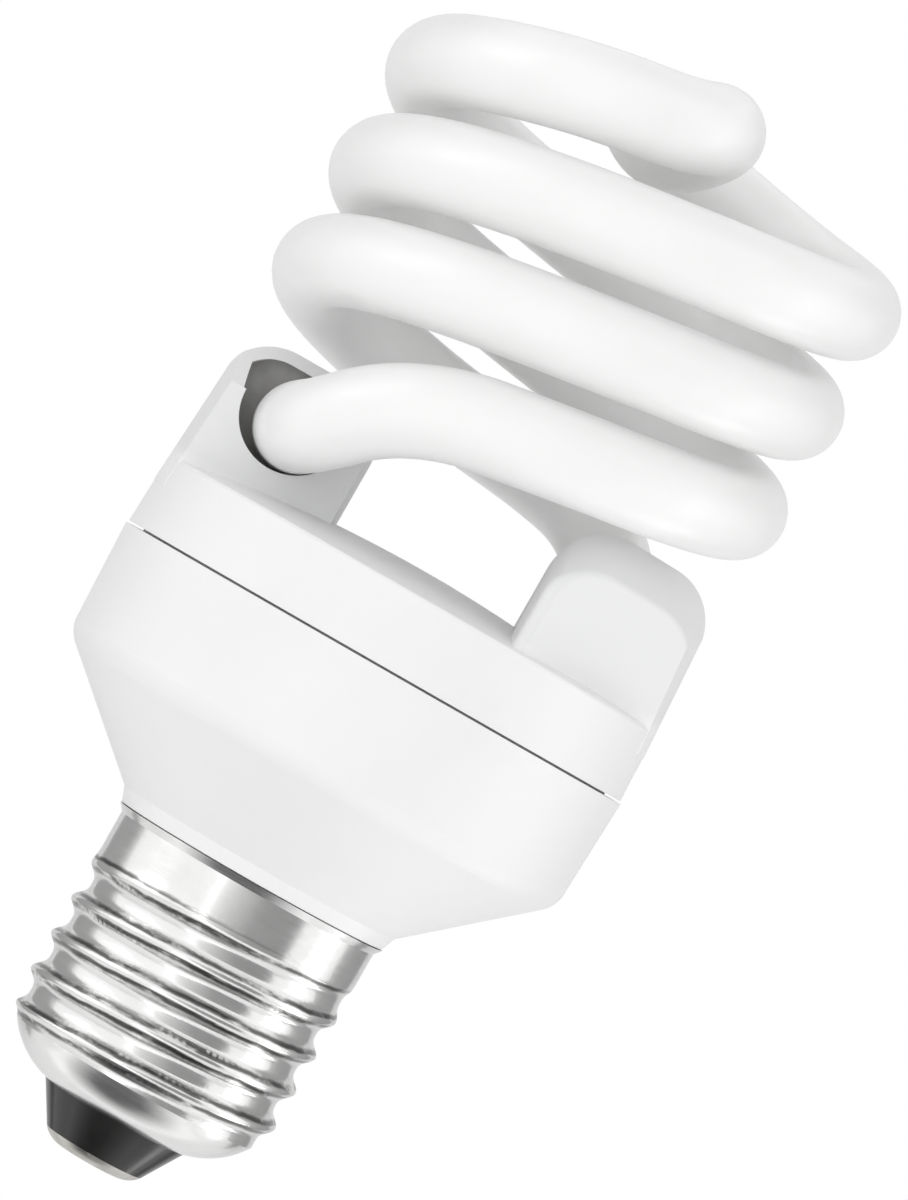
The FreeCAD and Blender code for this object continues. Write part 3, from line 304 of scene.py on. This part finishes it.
def white_plastic():
    """Satin white moulding with a very fine spark-eroded grain, darkened over the hoods by painted shade.
    """
    material, tree, shader = new_material("white_plastic")
    cloud = noise(tree, 70.0, 3.0, 0.5)
    unshaded = mottle(tree, shader, cloud, grey(0.845, (1.0, 1.0, 0.998)), grey(0.87))
    # Painted shade: the colour greys from the hoods' foot upwards, standing for the coil's shade on them
    painted_hood_shade = rise(tree, axes(tree)["Z"], HOOD_SHADE_FROM, HOOD_SHADE_WHOLLY)
    blend(tree, shader, painted_hood_shade, unshaded, grey(0.79, (0.995, 1.0, 0.998)))
    uneven(tree, shader, noise(tree, 900.0), 0.36, 0.46)
    shader.inputs["IOR"].default_value = 1.5
    shader.inputs["Subsurface Weight"].default_value = 0.06
    shader.inputs["Subsurface Radius"].default_value = (MM, MM, MM)
    bump(tree, shader, noise(tree, 2600.0, 2.0), 0.05, 0.04 * MM)
    return material


def painted_flank_reflections(tree):
    """How strong the painted dark reflection line is along both flanks of the thread."""
    across, away, height = axes(tree)
    turn = combine(tree, "DIVIDE", combine(tree, "ARCTAN2", away, across), 2 * math.pi)
    climb = combine(tree, "DIVIDE", combine(tree, "SUBTRACT", height, THREAD_CREST), THREAD_PITCH)
    wobble = combine(tree, "MULTIPLY", noise(tree, 330.0, 3.0, 0.5, (1.0, 1.0, 0.4)), LINE_WANDERS)
    in_turn = combine(tree, "ADD", combine(tree, "SUBTRACT", climb, turn), wobble)
    past_crest = combine(tree, "SUBTRACT", combine(tree, "FRACT", in_turn), CREST_IN_TURN)
    off_crest = combine(tree, "ABSOLUTE", past_crest)
    line = combine(tree, "MULTIPLY", rise(tree, off_crest, *LINE_BEGINS), rise(tree, off_crest, *LINE_ENDS))
    broken = rise(tree, noise(tree, 260.0, 4.0, 0.6, (1.0, 1.0, 3.0)), 0.3, 0.5)
    begun = rise(tree, height, *THREAD_BEGINS)
    threaded = combine(tree, "MULTIPLY", begun, rise(tree, height, *THREAD_ENDS))
    return combine(tree, "MULTIPLY", combine(tree, "MULTIPLY", line, broken), threaded)


def cap_metal():
    """Bright rolled cap: smooth nickel with fine lines round it and painted dark reflection lines on its
    flanks.
    """
    material, tree, shader = new_material("cap_metal")
    cloud = noise(tree, 220.0, 5.0, 0.6)
    stops = [(0.25, grey(0.84, (1.0, 0.998, 0.99))), (0.75, grey(0.95, (1.0, 0.999, 0.993)))]
    # Painted reflection: the base colour turns dark along each flank, where dark surroundings would be
    # mirrored
    painted_dark_lines = combine(tree, "MULTIPLY", painted_flank_reflections(tree), LINE_DEPTH)
    blend(tree, shader, painted_dark_lines, ramp(tree, cloud, stops), grey(0.1, (1.0, 0.98, 0.95)))
    shader.inputs["Metallic"].default_value = 1.0
    lines = noise(tree, 240.0, 4.0, 0.6, (1.0, 1.0, 14.0))
    uneven(tree, shader, lines, 0.13, 0.24)
    bump(tree, shader, lines, 0.12, 0.03 * MM)
    return material


def black_glass():
    material, tree, shader = new_material("black_glass")
    tint = (1.0, 1.0, 0.95)
    mottle(tree, shader, noise(tree, 300.0, 4.0), grey(0.007, tint), grey(0.013, tint))
    uneven(tree, shader, noise(tree, 500.0), 0.12, 0.22)
    shader.inputs["IOR"].default_value = 1.55
    bump(tree, shader, noise(tree, 260.0, 3.0), 0.08, 0.08 * MM)
    return material


def contact_metal():
    material, tree, shader = new_material("contact_metal")
    cloud = noise(tree, 500.0, 5.0, 0.6)
    mottle(tree, shader, cloud, grey(0.5, (1.0, 0.97, 0.9)), grey(0.68, (1.0, 0.98, 0.93)))
    shader.inputs["Metallic"].default_value = 1.0
    uneven(tree, shader, noise(tree, 700.0), 0.2, 0.4)
    bump(tree, shader, noise(tree, 900.0, 4.0), 0.2, 0.05 * MM)
    return material


def wound_wire():
    """Enamelled copper laid in turns, with painted shade in bands between the turns."""
    material, tree, shader = new_material("copper_wire")
    place = tree.nodes.new("ShaderNodeTexCoord")
    wave = tree.nodes.new("ShaderNodeTexWave")
    wave.bands_direction = "Z"
    wave.inputs["Scale"].default_value = 900.0
    wave.inputs["Distortion"].default_value = 0.6
    tree.links.new(place.outputs["Object"], wave.inputs["Vector"])
    # Painted shade: the colour runs from dark copper between the turns to bright copper on them
    stops = [(0.0, (0.16, 0.045, 0.015, 1.0)), (1.0, (0.62, 0.25, 0.1, 1.0))]
    tree.links.new(ramp(tree, wave.outputs["Fac"], stops), shader.inputs["Base Color"])
    shader.inputs["Metallic"].default_value = 0.8
    uneven(tree, shader, noise(tree, 800.0), 0.2, 0.35)
    bump(tree, shader, wave.outputs["Fac"], 0.5, 0.1 * MM)
    return material


def inner_finish(name, dark, light, tint, smoothest, roughest, scale, metallic, grain):
    """An inner piece's finish: mottled colour, uneven roughness and a fine grain."""
    material, tree, shader = new_material(name)
    mottle(tree, shader, noise(tree, scale, 4.0), grey(dark, tint), grey(light, tint))
    shader.inputs["Metallic"].default_value = metallic
    uneven(tree, shader, noise(tree, scale * 3), smoothest, roughest)
    bump(tree, shader, noise(tree, scale * 5), grain, 0.05 * MM)
    return material


def make_materials():
    made = {
        "coated_glass": coated_glass(),
        "white_plastic": white_plastic(),
        "cap_metal": cap_metal(),
        "black_glass": black_glass(),
        "contact_metal": contact_metal(),
        "copper_wire": wound_wire(),
    }
    for slot, *finish in INNER_FINISHES:
        made[slot] = inner_finish(slot, *finish)
    return made


def dress_nodes(materials):
    for part in frame["record"]["subparts"]:
        mesh = nodes[part["node"]].data
        mesh.materials.clear()
        mesh.materials.append(materials[part["material_slot"]])


def smooth(mesh):
    for face in mesh.polygons:
        face.use_smooth = True
    mesh.update()


# The glass tube, with the crown's knob and the lower lead-ins that the photograph shows
def tube_corners():
    """Corners of the tube's axis; the right half is the left one turned by 180 degrees."""
    reach = COIL_RADIUS / math.cos(math.radians(COIL_STEP_DEG / 2))
    corners = [Vector((across, away, COIL_START + up)) for across, away, up in LEAD_IN]
    for index in range(COIL_STEPS + 1):
        angle = math.radians(COIL_START_DEG + COIL_STEP_DEG * index)
        height = COIL_START + COIL_PITCH * COIL_STEP_DEG * index / 360
        corners.append(Vector((reach * math.cos(angle), reach * math.sin(angle), height)))
    end = corners[-1].z
    corners += [Vector((across, away, end + up)) for across, away, up in CROWN]
    turned = [Vector((-corner.x, -corner.y, corner.z)) for corner in corners]
    for corner, lift in zip(turned[len(LEAD_IN) - len(LEAD_IN_LIFT):], LEAD_IN_LIFT):
        corner.z += lift
    return corners + turned[::-1]


def rounded(corners):
    """Points along straight runs joined by tangent arcs, each as large as its two runs allow."""
    points = [corners[0]]
    for before, corner, after in zip(corners, corners[1:], corners[2:]):
        back = before - corner
        ahead = after - corner
        reach = min(back.length, ahead.length) / 2
        back.normalize()
        ahead.normalize()
        half_turn = (math.pi - back.angle(ahead)) / 2
        radius = reach / math.tan(half_turn)
        inward = (back + ahead).normalized()
        centre = corner + inward * (radius / math.cos(half_turn))
        sideways = (ahead - back).normalized()
        for step in range(ARC_STEPS + 1):
            angle = half_turn * (2 * step / ARC_STEPS - 1)
            point = centre + (sideways * math.sin(angle) - inward * math.cos(angle)) * radius
            if (point - points[-1]).length > SAME_POINT:
                points.append(point)
    points.append(corners[-1])
    return points


def make_tube(material):
    points = [point * MM for point in rounded(tube_corners())]
    path = bpy.data.curves.new("tube_path", "CURVE")
    path.dimensions = "3D"
    path.bevel_depth = TUBE_RADIUS * MM
    path.bevel_resolution = ROUND_STEPS
    path.use_fill_caps = True
    spline = path.splines.new("POLY")
    spline.points.add(len(points) - 1)
    for place, point in zip(spline.points, points):
        place.co = (*point, 1.0)
    bar = bpy.data.objects.new("tube_bar", path)
    scene.collection.objects.link(bar)
    mesh = bpy.data.meshes.new_from_object(bar)
    bpy.data.objects.remove(bar)
    mesh.materials.clear()
    mesh.materials.append(material)
    smooth(mesh)
    tube = bpy.data.objects.new("glass_tube", mesh)
    scene.collection.objects.link(tube)
    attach(tube, "root")
    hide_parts("discharge_tube")


# Stage and light
def make_world():
    """White to the camera, in reflections and through glass, and shaded elsewhere."""
    world = bpy.data.worlds.new("studio")
    scene.world = world
    world.use_nodes = True
    tree = world.node_tree
    shaded = tree.nodes["Background"]
    shown = tree.nodes.new("ShaderNodeBackground")
    for sky, strength in ((shaded, SURROUND), (shown, 1.0)):
        sky.inputs["Color"].default_value = grey(1.0)
        sky.inputs["Strength"].default_value = strength
    ray = tree.nodes.new("ShaderNodeLightPath").outputs
    seen = combine(tree, "MAXIMUM", ray["Is Camera Ray"], ray["Is Glossy Ray"])
    seen = combine(tree, "MAXIMUM", seen, ray["Is Transmission Ray"])
    mix = tree.nodes.new("ShaderNodeMixShader")
    for slot, source in enumerate((seen, shaded.outputs[0], shown.outputs[0])):
        tree.links.new(source, mix.inputs[slot])
    tree.links.new(mix.outputs[0], tree.nodes["World Output"].inputs["Surface"])


def facing(place, target):
    """Places a panel or a lamp and turns its Z axis away from the target."""
    away = Vector(place) - Vector(target)
    return Matrix.Translation(place) @ away.to_track_quat("Z", "Y").to_matrix().to_4x4()


def make_panel(name, placing, width, height, material):
    mesh = bpy.data.meshes.new(name)
    half_w, half_h = width / 2, height / 2
    corners = [(-half_w, -half_h, 0), (half_w, -half_h, 0), (half_w, half_h, 0), (-half_w, half_h, 0)]
    mesh.from_pydata(corners, [], [(0, 1, 2, 3)])
    mesh.materials.append(material)
    panel = bpy.data.objects.new(name, mesh)
    scene.collection.objects.link(panel)
    panel.matrix_world = placing
    return panel


def make_floor():
    pale, tree, shader = new_material("stage_pale")
    mottle(tree, shader, noise(tree, 3.0), grey(0.86), grey(0.88))
    shader.inputs["Roughness"].default_value = 0.8
    make_panel("studio_floor", Matrix.Translation((0.0, 0.0, FLOOR_HEIGHT)), FLOOR_WIDTH, FLOOR_WIDTH, pale)


def card_material(name, levels, from_middle=False):
    """A grey card whose glow runs through the levels across it, or out from its middle."""
    material, tree, shader = new_material(name)
    spot = axes(tree, "Generated")
    along = spot["X"]
    if from_middle:
        offsets = [combine(tree, "SUBTRACT", spot[axis], 0.5) for axis in ("X", "Y")]
        squares = [combine(tree, "MULTIPLY", offset, offset) for offset in offsets]
        along = combine(tree, "MULTIPLY", combine(tree, "SQRT", combine(tree, "ADD", *squares)), 2.0)
    glow = tree.nodes.new("ShaderNodeEmission")
    colour = ramp(tree, along, [(position, grey(level)) for position, level in levels])
    tree.links.new(colour, glow.inputs["Color"])
    tree.links.new(glow.outputs[0], tree.nodes["Material Output"].inputs["Surface"])
    tree.nodes.remove(shader)
    return material


def make_cards():
    """Grey cards that only reflections show: they draw the dark bands on the cap."""
    cards = []
    for name, azimuth, distance, width, height, levels in CARDS:
        angle = math.radians(azimuth)
        place = MIDDLE + distance * Vector((math.sin(angle), -math.cos(angle), 0.0))
        material = card_material(name + "_grey", levels)
        cards.append(make_panel(name, facing(place, MIDDLE), width, height, material))
    for name, place, width, depth, level in LEVEL_CARDS:
        levels = ((0.0, level), (GREY_UNTIL, level), (WHITE_FROM, 1.0))
        material = card_material(name + "_grey", levels, from_middle=True)
        target = (place[0], place[1], MIDDLE.z)
        cards.append(make_panel(name, facing(place, target), width, depth, material))
    for card in cards:
        for ray in ("camera", "diffuse", "transmission", "shadow"):
            setattr(card, "visible_" + ray, False)


def make_lamps():
    for name, place, size, watts in LAMPS:
        data = bpy.data.lights.new(name, "AREA")
        data.shape = "RECTANGLE"
        data.size, data.size_y = size
        data.energy = watts
        lamp = bpy.data.objects.new(name, data)
        scene.collection.objects.link(lamp)
        lamp.matrix_world = facing(place, MIDDLE)
        lamp.visible_camera = False


make_camera()
make_world()
make_floor()
make_cards()
make_lamps()
materials = make_materials()
dress_nodes(materials)
for node in nodes.values():
    smooth(node.data)
make_tube(materials["coated_glass"])
scene.view_settings.view_transform = "Standard"
